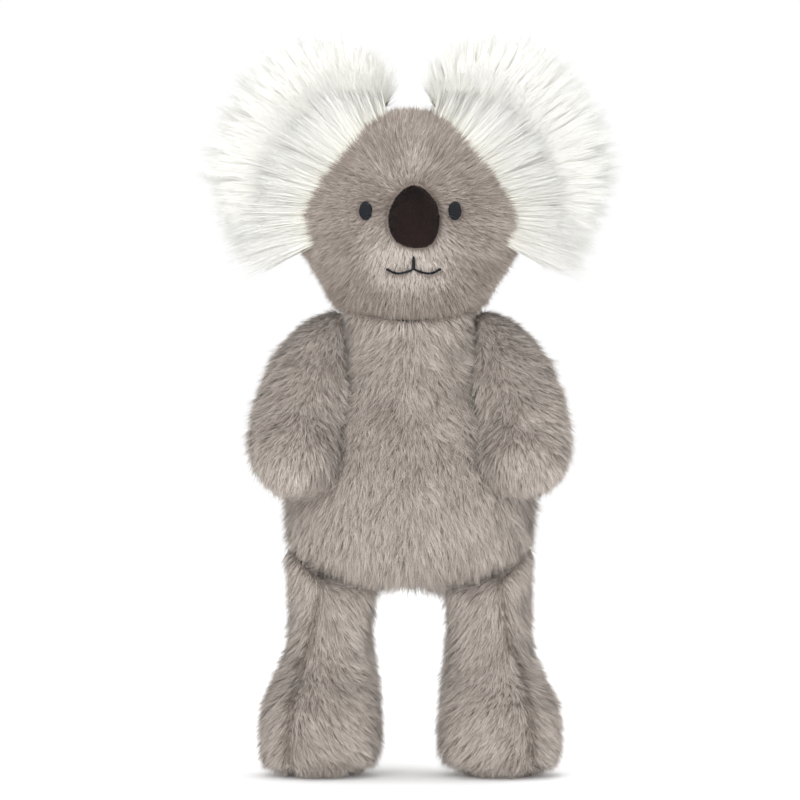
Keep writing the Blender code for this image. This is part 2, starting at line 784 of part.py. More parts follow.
def make_ears(head, plush, pile):
    crown = HEAD_CENTRE + Vector((EAR_ROOT_CROWN[0], EAR_BACK, EAR_ROOT_CROWN[1]))
    cheek = HEAD_CENTRE + Vector((EAR_ROOT_CHEEK[0], EAR_BACK, EAR_ROOT_CHEEK[1]))
    root = (crown + cheek) / 2
    turns = swings(root, (crown - cheek).normalized(), EAR_FOLD)

    def towards(point):
        offset = point - HEAD_CENTRE
        return Vector((offset.x, 0, offset.z)).normalized()

    def blocked(point):
        return in_head(point, ROLLING_GAP)

    front = EAR_BACK - (EAR_ROOT + SEAM_GAP) / 2
    back = EAR_BACK + (EAR_PANEL_THICKNESS + SEAM_GAP) / 2
    panel = ear_form(PANEL_SECTION_SHARES, EAR_PANEL_REACH, EAR_PANEL_THICKNESS, back)
    mass = ear_form(PILE_SECTION_SHARES, EAR_REACH, PILE_DEPTH, front)
    for form in (panel, mass):
        seated(form, towards, turns, blocked, PLUSH / 4)
    for side, mirror in SIDES:
        pivot = joint("ear_" + side, Vector((mirror * root.x, root.y, root.z)), head)
        place("ear_back_" + side, sided(panel.copy(), mirror), plush, pivot)
        place("ear_pile_" + side, sided(mass.copy(), mirror), pile, pivot)


def centred(front, back):
    """Move the whole model so that Y = 0 is midway between its front and its back."""
    for obj in bpy.data.objects:
        if not obj.parent:
            obj.location.y -= (front + back) / 2


def main():
    for obj in list(bpy.data.objects):
        bpy.data.objects.remove(obj)
    plush = material("grey_plush", GREY_PLUSH, DULL)
    pile = material("white_pile", WHITE_PILE, DULL)
    stuffing = material("stuffing", STUFFING_WHITE, DULL)
    velour = material("nose_velour", NOSE_BROWN, DULL)
    thread = material("charcoal_thread", CHARCOAL, SATIN)
    torso = joint("torso", Vector((0, 0, BODY_BASE)))
    neck = joint("neck", HEAD_CENTRE, torso)
    head = joint("head", HEAD_CENTRE, neck)
    body_cover = make_torso(torso, plush, stuffing)
    neck_ring("neck_thread", NECK_THREAD_RADIUS, thread, neck)
    head_cover = make_head(head, plush, stuffing)
    throat = Vector((HEAD_CENTRE.x, HEAD_CENTRE.y, HEAD_CENTRE.z - HEAD_RADIUS))
    depth = Vector((0, 0, PLUSH + OVERRUN))
    hole = rod("neck_hole", throat - depth, throat + depth, NECK_HOLE_RADIUS)
    cut(head_cover, hole)
    cut(body_cover, hole)
    make_nose(head, velour, stuffing)
    make_eyes(head, thread)
    make_mouth(head, thread)
    make_arms(torso, body_cover, plush, stuffing)
    make_legs(torso, body_cover, plush, stuffing)
    make_ears(head, plush, pile)
    nose_front = on_face(NOSE_ASIDE, -NOSE_DROP, SEAM_GAP + NOSE_PROUD)
    centred(nose_front.y, HEAD_CENTRE.y + HEAD_RADIUS)


main()
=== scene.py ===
"""Looks of a standing plush koala, dressed over its packed CAD frame.

Each stuffed form gets a cloth skin, wrapped over the CAD covers and puffed by a cloth simulation, and pile
that Geometry Nodes grow on that skin. Metres, in the frame's own axes: the toy faces -Y, and left is its own
left, at +X.
"""

import math

import bmesh
import bpy
import numpy as np
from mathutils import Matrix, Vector
from mathutils.bvhtree import BVHTree


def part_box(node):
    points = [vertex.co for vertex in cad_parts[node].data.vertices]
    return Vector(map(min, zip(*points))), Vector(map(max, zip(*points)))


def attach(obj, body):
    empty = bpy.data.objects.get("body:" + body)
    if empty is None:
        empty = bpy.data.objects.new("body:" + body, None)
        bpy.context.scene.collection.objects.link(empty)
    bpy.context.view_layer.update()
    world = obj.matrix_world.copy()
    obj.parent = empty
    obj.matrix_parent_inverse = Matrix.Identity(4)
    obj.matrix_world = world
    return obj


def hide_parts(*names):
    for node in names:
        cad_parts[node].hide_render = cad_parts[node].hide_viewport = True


bl_info = {
    "name": "Plush Koala",
    "version": (1, 0, 0),
    "blender": (4, 5, 0),
    "location": "View3D > Sidebar > Koala",
    "description": "Dresses a plush koala's frame with stuffed skins, pile, stitches and a studio stage",
    "category": "Object",
}

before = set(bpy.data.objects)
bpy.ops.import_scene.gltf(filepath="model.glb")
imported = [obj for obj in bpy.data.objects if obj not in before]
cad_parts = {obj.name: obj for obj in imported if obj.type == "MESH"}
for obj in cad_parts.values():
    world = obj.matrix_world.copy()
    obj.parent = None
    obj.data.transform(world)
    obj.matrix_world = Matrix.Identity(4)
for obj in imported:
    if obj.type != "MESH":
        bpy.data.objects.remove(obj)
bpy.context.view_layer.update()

SIDES = (("left", 1), ("right", -1))
DOWN = np.array((0.0, 0.0, -1.0))
PILE_UV = "OFBake"
PHOTO_PIXELS = 800
# How far the head's sides are turned towards the front where the ears' pile begins, 0 at its outline.
EAR_SEAM = 0.46
NO_FLOOR = -1.0
# How deep a skin lies where it is sewn to a neighbour, and where a nose, an eye or a stitch lies on it.
SEWN_DEPTH = 0.0007
RAISED_DEPTH = 0.0006
STUFFING_PRESSURE = 4
STUFFING_FRAMES = 20
# How much of a strand's shading follows the cloth under it, its own face and its two sides.
CLOTH_LIGHT, FACE_LIGHT, SIDE_LIGHT = 0.65, 0.45, 1.2
WHITE_TONE = 0.72
# The surroundings' strength as light, what the camera sees over that, and the floor's own glow there.
SKY_LIGHT, SKY_SEEN, FLOOR_GLOW = 0.95, 0.06, 0.10
COVERS_AT_BODY = ("head_cover", "arm_cover_left", "arm_cover_right", "leg_cover_left", "leg_cover_right")


def srgb(code):
    """A colour written as six hex digits, as linear red, green, blue and alpha."""
    found = []
    for i in (0, 2, 4):
        value = int(code[i : i + 2], 16) / 255
        found.append(value / 12.92 if value <= 0.04045 else ((value + 0.055) / 1.055) ** 2.4)
    return (*found, 1.0)


def number(name, text, default, **options):
    return bpy.props.FloatProperty(name=name, description=text, default=default, min=0, **options)


def length(name, text, default):
    return number(name, text, default, subtype="DISTANCE", unit="LENGTH", precision=5)


def share(name, text, default):
    return number(name, text, default, soft_max=1)


def thickness(name, text, default):
    """Strands on each square metre."""
    return number(name, text, default, soft_max=1e7)


def colour(name, text, code):
    return bpy.props.FloatVectorProperty(
        name=name, description=text, default=srgb(code), size=4, min=0, max=1, subtype="COLOR"
    )


class KoalaPlush(bpy.types.PropertyGroup):
    """The short grey pile of the covers."""

    detail: length("Skin detail", "Size of the skin's faces before they are divided", 0.0034)
    sink: length("Skin depth", "How far the cloth lies under the tips of its pile", 0.0034)
    puff: length("Puff", "Furthest that stuffing pushes the cloth", 0.0015)
    head_pile: length("Head pile", "Length of the pile on the head", 0.0062)
    face_pile: length("Face pile", "Length of the pile beside the nose, eyes and mouth", 0.0034)
    body_pile: length("Body pile", "Length of the pile on the body", 0.0074)
    limb_pile: length("Limb pile", "Length of the pile on the arms and legs", 0.0074)
    strand: length("Strand", "Width of a strand at its root", 0.00026)
    tuft: length("Tuft", "Size of the tufts that strands gather into", 0.0018)
    head_tuft: length("Head tuft", "Size of the tufts on the head", 0.0014)
    density: thickness("Density", "Strands on each square metre of cloth", 5.8e6)
    # The roots are darker than the tips partly as the pile's own colour and partly as painted shade between
    # the strands.
    dark_root: colour("Dark root", "Root of the darkest strands", "4f453e")
    dark_tip: colour("Dark tip", "Tip of the darkest strands", "94887e")
    light_root: colour("Light root", "Root of the lightest strands", "93877e")
    light_tip: colour("Light tip", "Tip of the lightest strands", "f0e7df")
    cloth: colour("Cloth", "Backing cloth under the pile", "8a7e76")


class KoalaEars(bpy.types.PropertyGroup):
    """The ears' long white pile."""

    core_reach: share("Core reach", "Reach of the ear's padded core, of the whole ear's", 0.72)
    core_depth: share("Core depth", "Depth of the ear's padded core, of the whole ear's", 0.62)
    strand: length("Strand", "Width of a strand at its root", 0.00022)
    tuft: length("Tuft", "Size of the wisps that strands gather into", 0.0030)
    density: thickness("Density", "Strands on each square metre of the core", 1.3e7)
    root_pile: length("Root pile", "Length of the white pile on the sides of the head", 0.027)
    back_pile: length("Back pile", "Length of the grey pile on the ear's back", 0.0060)
    root: colour("Root", "Creamy colour near the ear", "f4f1e4")
    shade: colour("Shade", "Colour of the shaded strands", "e6e6e0")
    tip: colour("Tip", "Cool white of the tips", "fbfbfa")
    cloth: colour("Cloth", "Backing cloth under the long pile", "f0ede2")


class KoalaFace(bpy.types.PropertyGroup):
    """The nose's velour and the satin stitch."""

    velour: colour("Velour", "Body of the nose's velour", "1d1211")
    velour_tip: colour("Velour tip", "Brushed tips of the velour", "38241f")
    velour_pile: length("Velour pile", "Length of the velour's nap", 0.0009)
    velour_density: thickness("Velour density", "Strands on each square metre of velour", 2.6e7)
    thread: colour("Thread", "Satin thread of the eyes and mouth", "0b0c0f")
    thread_light: colour("Thread light", "Lighter plies of the thread", "22262b")
    pitch: length("Pitch", "Distance from one satin stitch to the next", 0.00044)


class KoalaStage(bpy.types.PropertyGroup):
    """Floor, lamps and camera."""

    floor: colour("Floor", "The pale floor", "fbfbfb")
    camera_away: length("Camera distance", "From the toy's middle to the camera", 2.2)
    camera_height: length("Camera height", "Height of the camera over the floor", 0.205)
    pixel: length("Pixel", "Real size of a pixel of the photograph at the toy", 0.0004515)
    ground_row: number("Ground row", "Row of the photograph at which the feet stand", 776)
    middle_column: number("Middle column", "Column of the photograph at the toy's middle", 410)


class Wire:
    """A node's output in Python expressions: sums and products of wires add the nodes that work them out."""

    def __init__(self, graph, socket):
        self.graph = graph
        self.socket = socket

    def out(self, name):
        return Wire(self.graph, self.socket.node.outputs[name])

    def _with(self, operation, first, second):
        def is_vector(value):
            if isinstance(value, Wire):
                return value.socket.type in ("VECTOR", "RGBA")
            return isinstance(value, tuple)

        if not is_vector(first) and not is_vector(second):
            return self.graph.shader("Math", {0: first, 1: second}, operation=operation)
        if operation == "MULTIPLY" and not is_vector(first):
            first, second = second, first
        if operation == "MULTIPLY" and not is_vector(second):
            return self.graph.shader("VectorMath", {0: first, 3: second}, operation="SCALE")
        return self.graph.shader("VectorMath", {0: first, 1: second}, operation=operation)

    def __add__(self, other):
        return self._with("ADD", self, other)

    __radd__ = __add__

    def __sub__(self, other):
        return self._with("SUBTRACT", self, other)

    def __rsub__(self, other):
        return self._with("SUBTRACT", other, self)

    def __mul__(self, other):
        return self._with("MULTIPLY", self, other)

    __rmul__ = __mul__

    def __rtruediv__(self, other):
        return self._with("DIVIDE", other, self)

    def __pow__(self, other):
        return self._with("POWER", self, other)

    def dot(self, other):
        made = self.graph.shader("VectorMath", {0: self, 1: other}, operation="DOT_PRODUCT")
        return made.out("Value")

    def cross(self, other):
        return self.graph.shader("VectorMath", {0: self, 1: other}, operation="CROSS_PRODUCT")

    def unit(self):
        return self.graph.shader("VectorMath", {0: self}, operation="NORMALIZE")

    def parts(self):
        made = self.graph.shader("SeparateXYZ", {0: self})
        return made.out("X"), made.out("Y"), made.out("Z")


class Graph:
    """A node tree written as calls: each makes a node from its type, its inputs and its settings."""

    def __init__(self, tree):
        self.tree = tree

    def add(self, kind, inputs=None, output=0, **settings):
        node = self.tree.nodes.new(kind)
        for name, value in settings.items():
            if name == "stops":
                self.set_stops(node.color_ramp, value)
            else:
                setattr(node, name, value)
        for key, value in (inputs or {}).items():
            if isinstance(value, Wire):
                self.tree.links.new(value.socket, node.inputs[key])
            else:
                node.inputs[key].default_value = value
        return Wire(self, node.outputs[output]) if len(node.outputs) else node

    def geometry(self, kind, *others, **settings):
        return self.add("GeometryNode" + kind, *others, **settings)

    def shader(self, kind, *others, **settings):
        return self.add("ShaderNode" + kind, *others, **settings)

    @staticmethod
    def set_stops(ramp, stops):
        while len(ramp.elements) < len(stops):
            ramp.elements.new(1)
        for element, (place, value) in zip(ramp.elements, stops):
            element.position = place
            element.color = value


def geometry_tree(name, inputs):
    """A Geometry Nodes tree with named inputs, given as (name, socket type) pairs after the geometry."""
    tree = bpy.data.node_groups.new(name, "GeometryNodeTree")
    tree.is_modifier = True
    tree.interface.new_socket("Geometry", in_out="INPUT", socket_type="NodeSocketGeometry")
    for title, kind in inputs:
        tree.interface.new_socket(title, in_out="INPUT", socket_type="NodeSocket" + kind)
    tree.interface.new_socket("Geometry", in_out="OUTPUT", socket_type="NodeSocketGeometry")
    return tree


def result_of(obj):
    """The mesh that an object's modifiers make."""
    graph = bpy.context.evaluated_depsgraph_get()
    return bpy.data.meshes.new_from_object(obj.evaluated_get(graph), depsgraph=graph)


def apply_modifiers(obj):
    """Give an object the mesh that its modifiers make, in place of its own."""
    made, before = result_of(obj), obj.data
    obj.modifiers.clear()
    obj.data = made
    bpy.data.meshes.remove(before)
    made.name = obj.name
    made.shade_smooth()


def run_tree(tree, carrier, values):
    """The plain mesh that a tree makes on an object, whose modifier is then gone."""
    modifier = carrier.modifiers.new(tree.name, "NODES")
    modifier.node_group = tree
    for item in tree.interface.items_tree:
        if item.in_out == "INPUT" and item.name in values:
            modifier[item.identifier] = values[item.name]
    made = result_of(carrier)
    carrier.modifiers.remove(modifier)
    return made


def named(g, name, kind="FLOAT"):
    return g.geometry("InputNamedAttribute", {"Name": name}, data_type=kind)


def vector(g, name):
    return named(g, name, "FLOAT_VECTOR")


def stored(g, geometry, name, value, kind="FLOAT_VECTOR", domain="POINT"):
    inputs = {"Geometry": geometry, "Name": name, "Value": value}
    return g.geometry("StoreNamedAttribute", inputs, data_type=kind, domain=domain)


def ray_cast(g, target, start, way, reach):
    """A ray along +Y or -Y, as way says, to the geometry of a node."""
    ray = {"Target Geometry": target.out("Geometry"), "Source Position": start, "Ray Length": reach}
    return g.geometry("Raycast", {**ray, "Ray Direction": (0.0, way, 0.0)}, data_type="FLOAT")


def blade(g):
    """One strand: a strip one unit high that tapers to a point, and a back for its other side."""
    sizes = {"Size X": 1.0, "Size Y": 1.0, "Vertices X": 2, "Vertices Y": 2}
    strip = g.geometry("MeshGrid", sizes)
    x, y, _ = g.geometry("InputPosition").parts()
    height = y + 0.5
    side = x * (1 - height**2.2)
    strip = stored(g, strip, "height", height, "FLOAT")
    strip = stored(g, strip, "side", side, "FLOAT")
    narrow = g.shader("CombineXYZ", {0: side, 1: y})
    strip = g.geometry("SetPosition", {"Geometry": strip, "Position": narrow})
    front = g.geometry("MergeByDistance", {"Geometry": strip, "Distance": 0.001})
    back = stored(g, g.geometry("FlipFaces", {"Mesh": front}), "behind", 1.0, "FLOAT")
    both = g.geometry("JoinGeometry")
    for part in (front, back):
        g.tree.links.new(part.socket, both.socket.node.inputs[0])
    return both


def pile_tree(name):
    """Strands on a groomed skin: each a tapered ribbon that rises, leans with the comb and joins a tuft."""
    sizes = ("strand", "tuft", "pull", "untidy", "spread", "lift", "droop", "floor")
    others = [("Seed", "Int"), ("Material", "Material"), ("bare", "Object")]
    tree = geometry_tree(name, [(size, "Float") for size in sizes] + others)
    g = Graph(tree)
    given = g.add("NodeGroupInput")
    seed = given.out("Seed")

    def random_vector(number):
        inputs = {0: (-1.0, -1.0, -1.0), 1: (1.0, 1.0, 1.0), "Seed": seed + number}
        return g.add("FunctionNodeRandomValue", inputs, data_type="FLOAT_VECTOR")

    def random_share(number):
        inputs = {2: 0.0, 3: 1.0, "Seed": seed + number}
        return g.add("FunctionNodeRandomValue", inputs, 1, data_type="FLOAT")

    ground = {"Mesh": given.out("Geometry"), "Density": named(g, "density"), "Seed": seed}
    points = g.geometry("DistributePointsOnFaces", ground, distribute_method="RANDOM")
    points = stored(g, points, "root_normal", points.out("Normal"))
    normal = vector(g, "root_normal").unit()
    root = g.geometry("InputPosition")
    bare = g.geometry("ObjectInfo", {"Object": given.out("bare")}, transform_space="RELATIVE")
    under = ray_cast(g, bare, root, -1.0, 0.03)
    hidden = {"Geometry": points, "Selection": under.out("Is Hit")}
    points = g.geometry("DeleteGeometry", hidden, domain="POINT")
    cells = g.shader("TexVoronoi", {"Vector": root * (1 / given.out("tuft")), "Scale": 1.0})
    centre = cells.out("Position") * given.out("tuft")
    mood = cells.out("Color") - (0.5, 0.5, 0.5)
    waves = g.shader("TexNoise", {"Vector": root, "Scale": 75.0, "Detail": 1.0}, 1)
    shade = (waves - (0.5, 0.5, 0.5)).dot((0.5, 0.0, 0.0))
    stray = (waves - (0.5, 0.5, 0.5)) * 1.4 + mood * 0.8 + random_vector(1) * 0.3
    comb = vector(g, "comb") + stray * given.out("untidy")
    comb = comb.unit()
    uneven = (random_share(2) - 0.55 + mood.dot((0.0, 0.5, 0.0))) * given.out("spread")
    reach = named(g, "reach") * (0.95 + uneven)
    lift = given.out("lift") * (0.75 + random_share(3) * 0.5)
    gather = centre - root
    gather = (gather - normal * gather.dot(normal)) * given.out("pull")
    grow = (normal * lift + comb * 0.35) * reach
    droop = given.out("droop") * (0.0, 0.0, -1.0)
    lean = (comb * 0.5 - normal * (lift * 0.36) + droop) * reach + gather
    across = comb.cross(normal + random_vector(4) * 0.4).unit()
    across = across * (given.out("strand") * (0.7 + random_share(5) * 0.6))
    tone = named(g, "tone") + (random_share(6) - 0.5) * 0.75 + mood.dot((0.3, 0.0, 0.0)) + shade
    tone = g.shader("Clamp", {"Value": tone, "Min": 0.02, "Max": 0.98})
    for title, value in (("root", root), ("grow", grow), ("lean", lean), ("across", across)):
        points = stored(g, points, title, value)
    points = stored(g, points, "tone_place", tone, "FLOAT")
    strands = g.geometry("InstanceOnPoints", {"Points": points, "Instance": blade(g)})
    strands = g.geometry("RealizeInstances", {0: strands})

    height = named(g, "height")
    bent = vector(g, "root") + vector(g, "grow") * height
    bent = bent + vector(g, "lean") * (height * height)
    flat = vector(g, "across")
    thin = flat.cross(vector(g, "grow")).unit() * given.out("strand")
    bent = bent + flat * named(g, "side") - thin * (named(g, "behind") * 0.1)
    x, y, z = bent.parts()
    z = g.shader("Math", {0: z, 1: given.out("floor")}, operation="MAXIMUM")
    bent = g.shader("CombineXYZ", {0: x, 1: y, 2: z})
    strands = g.geometry("SetPosition", {"Geometry": strands, "Position": bent})
    # Each strand lies on a thin line of the colour chart: its tone across, and its height up.
    chart = {0: named(g, "tone_place") + named(g, "side") * 0.012, 1: named(g, "height") * 0.98 + 0.01}
    strands = stored(g, strands, PILE_UV, g.shader("CombineXYZ", chart), "FLOAT2", "CORNER")
    painted = g.geometry("SetMaterial", {"Geometry": strands, "Material": given.out("Material")})
    g.add("NodeGroupOutput", {"Geometry": painted})
    return tree


def stitch_tree():
    """Satin stitches laid side by side over a small CAD form, as seen from the front."""
    vectors = [(title, "Vector") for title in ("Middle", "Step", "Along")]
    others = [("Count", "Int"), ("Radius", "Float"), ("Material", "Material")]
    tree = geometry_tree("Satin stitch", vectors + others)
    g = Graph(tree)
    given = g.add("NodeGroupInput")
    start = given.out("Middle") - given.out("Step") * (given.out("Count") * 0.5 - 0.5)
    places = {"Count": given.out("Count"), "Start Location": start, "Offset": given.out("Step")}
    row = g.geometry("MeshLine", places, mode="OFFSET")
    ends = {"Start": given.out("Along") * -0.5, "End": given.out("Along") * 0.5}
    thread = g.geometry("CurvePrimitiveLine", ends)
    laid = g.geometry("InstanceOnPoints", {"Points": row, "Instance": thread})
    laid = g.geometry("RealizeInstances", {0: laid})
    laid = g.geometry("ResampleCurve", {"Curve": laid, "Count": 36})
    ahead = g.geometry("InputPosition") + (0.0, -0.05, 0.0)
    hit = ray_cast(g, given, ahead, 1.0, 0.1)
    missed = g.add("FunctionNodeBooleanMath", {0: hit.out("Is Hit")}, operation="NOT")
    laid = stored(g, laid, "missed", missed, "BOOLEAN")
    on_top = hit.out("Hit Position") + hit.out("Hit Normal") * (given.out("Radius") * 0.3)
    laid = g.geometry("SetPosition", {"Geometry": laid, "Position": on_top})
    selection = {"Geometry": laid, "Selection": named(g, "missed", "BOOLEAN")}
    laid = g.geometry("DeleteGeometry", selection, domain="POINT")
    ring = g.geometry("CurvePrimitiveCircle", {"Resolution": 6, "Radius": given.out("Radius")})
    tubes = g.geometry("CurveToMesh", {"Curve": laid, "Profile Curve": ring, "Fill Caps": True})
    made = g.geometry("RealizeInstances", {0: tubes})
    painted = g.geometry("SetMaterial", {"Geometry": made, "Material": given.out("Material")})
    g.add("NodeGroupOutput", {"Geometry": painted})
    return tree


def finish(name, roughness, sheen=0.0, specular=0.3):
    """A material with its graph and its shader."""
    material = bpy.data.materials.new(name)
    material.use_nodes = True
    shader = material.node_tree.nodes["Principled BSDF"]
    looks = {"Roughness": roughness, "Metallic": 0, "Specular IOR Level": specular, "Sheen Weight": sheen}
    for socket, value in {**looks, "Sheen Roughness": 0.4, "Sheen Tint": (1.0, 1.0, 1.0, 1.0)}.items():
        shader.inputs[socket].default_value = value
    return material, Graph(material.node_tree), shader


def paint(g, shader, socket, wire):
    g.tree.links.new(wire.socket, shader.inputs[socket])


def pile_finish(name, group, colours, roughness, sheen):
    """Pile whose chart runs from dark strands to light ones, and up each strand from root to tip.

    colours names the group's colours of the darkest strands' root and tip, and of the lightest strands'.
    """
    material, g, shader = finish(name, roughness, sheen)
    chart = g.shader("UVMap", uv_map=PILE_UV)
    tone, height, _ = chart.parts()
    inks = [tuple(getattr(group, title)) for title in colours.split()]
    ends = []
    # Each strand is darker at its root than at its tip: partly the pile's own lighter tips, partly painted
    # shade where neighbouring strands shadow the roots.
    for root, tip in (inks[:2], inks[2:]):
        middle = tuple(0.42 * a + 0.58 * b for a, b in zip(root, tip))
        stops = ((0.0, root), (0.38, middle), (1.0, tip))
        ends.append(g.shader("ValToRGB", {0: height}, stops=stops))
    blend = g.shader("Mix", {0: tone, 6: ends[0], 7: ends[1]}, 2, data_type="RGBA")
    paint(g, shader, "Base Color", blend)
    return material


def woven(g, shader, change, dark, light, bump, depth, height):
    """Let a cloth's colour change from dark to light, and raise its loops or plies."""
    paint(g, shader, "Base Color", g.shader("Mix", {0: change, 6: dark, 7: light}, 2, data_type="RGBA"))
    lump = g.shader("Bump", {"Strength": bump, "Distance": depth, "Height": height})
    paint(g, shader, "Normal", lump)


def cloth_finish(name, base, scale=900.0, bump=0.3):
    """Backing cloth: knitted loops in the bump, and a slow change of shade."""
    material, g, shader = finish(name, 0.95, 0.25)
    place = g.shader("TexCoord").out("Object")
    loops = g.shader("TexVoronoi", {"Vector": place, "Scale": scale})
    slow = g.shader("TexNoise", {"Vector": place, "Scale": 60.0, "Detail": 3.0})
    dark = tuple(c * 0.7 for c in base[:3]) + (1.0,)
    woven(g, shader, slow, dark, base, bump, 0.0004, loops)
    return material


def thread_finish(name, dark, light, plies=2600.0):
    """Glossy thread, with its plies as fine slanting lines."""
    material, g, shader = finish(name, 0.6, specular=0.2)
    place = g.shader("TexCoord").out("Object")
    turned = g.shader("Mapping", {"Vector": place, "Rotation": (0.6, 0.9, 0.4)})
    lines = g.shader("TexWave", {"Vector": turned, "Scale": plies / 6}, bands_direction="DIAGONAL").out("Fac")
    woven(g, shader, lines, dark, light, 0.35, 0.0001, lines)
    return material


def placed(name, data):
    obj = bpy.data.objects.new(name, data)
    bpy.context.scene.collection.objects.link(obj)
    return obj


def link(name, mesh, material=None):
    if material:
        mesh.materials.clear()
        mesh.materials.append(material)
    mesh.shade_smooth()
    return placed(name, mesh)


def points_of(mesh, source="vertices"):
    found = np.empty(len(mesh.vertices) * 3, np.float32)
    if source == "vertices":
        mesh.vertices.foreach_get("co", found)
    else:
        mesh.vertex_normals.foreach_get("vector", found)
    return found.reshape(-1, 3).astype(np.float64)


def cloth_points(obj):
    """A skin's points and their normals."""
    return points_of(obj.data), points_of(obj.data, "normals")


def move_points(mesh, points):
    mesh.vertices.foreach_set("co", points.astype(np.float32).ravel())
    mesh.update()


def smooth(value, low, high):
    """0 below low, 1 above high, and a smooth change between."""
    t = np.clip((value - low) / (high - low), 0, 1)
    return t * t * (3 - 2 * t)


def unit(vectors):
    return vectors / np.maximum(np.linalg.norm(vectors, axis=1, keepdims=True), 1e-9)


def cad_form(*nodes):
    """The CAD nodes' surfaces, merged from loose triangles, as one bmesh."""
    bm = bmesh.new()
    for node in nodes:
        bm.from_mesh(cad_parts[node].data)
    bmesh.ops.remove_doubles(bm, verts=bm.verts, dist=1e-6)
    return bm


def mesh_from(bm, name):
    mesh = bpy.data.meshes.new(name)
    bm.to_mesh(mesh)
    bm.free()
    return mesh


def corners(node):
    """The low and the high corner of a CAD node's box."""
    return np.array(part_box(node))


def surface_of(*nodes):
    bm = cad_form(*nodes)
    found = BVHTree.FromBMesh(bm)
    bm.free()
    return found


def distance_to(surface, points):
    return np.array([surface.find_nearest(Vector(p))[3] for p in points])


def wrapped_skin(name, nodes, detail, sink, rounds=4, flat_below=NO_FLOOR):
    """A closed skin over the outside of the CAD nodes, sunk under their surface by sink(points).

    Below the height flat_below it sinks only sideways, so that it meets the form under it.
    """
    bm = cad_form(*nodes)
    surface = BVHTree.FromBMesh(bm)
    hull = bmesh.ops.convex_hull(bm, input=bm.verts)
    bm.faces.ensure_lookup_table()
    outside = {item for item in hull["geom"] if isinstance(item, bmesh.types.BMFace)}
    bmesh.ops.delete(bm, geom=[face for face in bm.faces if face not in outside], context="FACES")
    obj = link(name, mesh_from(bm, name))
    remesh = obj.modifiers.new("Even faces", "REMESH")
    remesh.mode = "VOXEL"
    remesh.voxel_size = detail
    apply_modifiers(obj)
    found = []
    for point in points_of(obj.data):
        near, normal, _, _ = surface.find_nearest(Vector(point))
        found.append((*near, *normal))
    found = np.array(found)
    found[:, 5] *= smooth(found[:, 2], flat_below - 0.006, flat_below)
    move_points(obj.data, found[:, :3] - found[:, 3:] * sink(found[:, :3])[:, None])
    relax(obj, rounds)
    obj.data.shade_smooth()
    return obj


def sink_by(depth, *neighbours):
    """How deep a skin lies: its usual depth, and hardly at all where it is sewn to its neighbours."""
    if not neighbours:
        return lambda points: np.full(len(points), depth)
    beside = surface_of(*neighbours)

    def sunk(points):
        return SEWN_DEPTH + (depth - SEWN_DEPTH) * smooth(distance_to(beside, points), 0.0015, 0.010)

    return sunk


def drawn_in(skin):
    """Bring the chest's sides in at the shoulders, and the arms with them, as the sewing does."""
    points = points_of(skin.data)
    level = smooth(points[:, 2], 0.160, 0.184) * (1 - smooth(points[:, 2], 0.206, 0.214))
    inner = 1 - smooth(np.abs(points[:, 0]), 0.036, 0.060)
    points[:, 0] *= 1 - 0.13 * level * inner
    move_points(skin.data, points)


def relax(obj, rounds):
    bm = bmesh.new()
    bm.from_mesh(obj.data)
    for _ in range(rounds):
        axes = {"use_axis_" + axis: True for axis in "xyz"}
        bmesh.ops.smooth_vert(bm, verts=bm.verts, factor=0.5, **axes)
    bm.to_mesh(obj.data)
    bm.free()


def puffed(obj, held, cap):
    """Swell a skin with stuffing as simulated cloth; held says how firmly each point is kept, from 0 to 1."""
    before = points_of(obj.data)
    group = obj.vertex_groups.new(name="held")
    for index, weight in enumerate(held(before)):
        group.add([index], float(weight), "REPLACE")
    cloth = obj.modifiers.new("Puff", "CLOTH")
    settings = cloth.settings
    settings.use_pressure = True
    settings.uniform_pressure_force = STUFFING_PRESSURE
    settings.effector_weights.gravity = 0
    settings.vertex_group_mass = group.name
    settings.quality = 4
    cloth.collision_settings.use_collision = False
    scene = bpy.context.scene
    for number in range(1, STUFFING_FRAMES + 1):
        scene.frame_set(number)
    graph = bpy.context.evaluated_depsgraph_get()
    after = points_of(obj.evaluated_get(graph).data)
    obj.modifiers.remove(cloth)
    obj.vertex_groups.remove(group)
    scene.frame_set(1)
    way = after - before
    far = np.linalg.norm(way, axis=1, keepdims=True)
    move_points(obj.data, before + way * np.minimum(1, cap / np.maximum(far, 1e-9)))
    relax(obj, 1)
    divide = obj.modifiers.new("Divide", "SUBSURF")
    divide.levels = 1
    divide.render_levels = 1
    apply_modifiers(obj)


def set_values(mesh, name, values):
    """Give a mesh an attribute, from a value for all of its points or one for each."""
    kind, field = ("FLOAT_VECTOR", "vector") if np.ndim(values) == 2 else ("FLOAT", "value")
    values = values if np.ndim(values) else np.full(len(mesh.vertices), values)
    mesh.attributes.new(name, kind, "POINT").data.foreach_set(field, values.astype(np.float32).ravel())


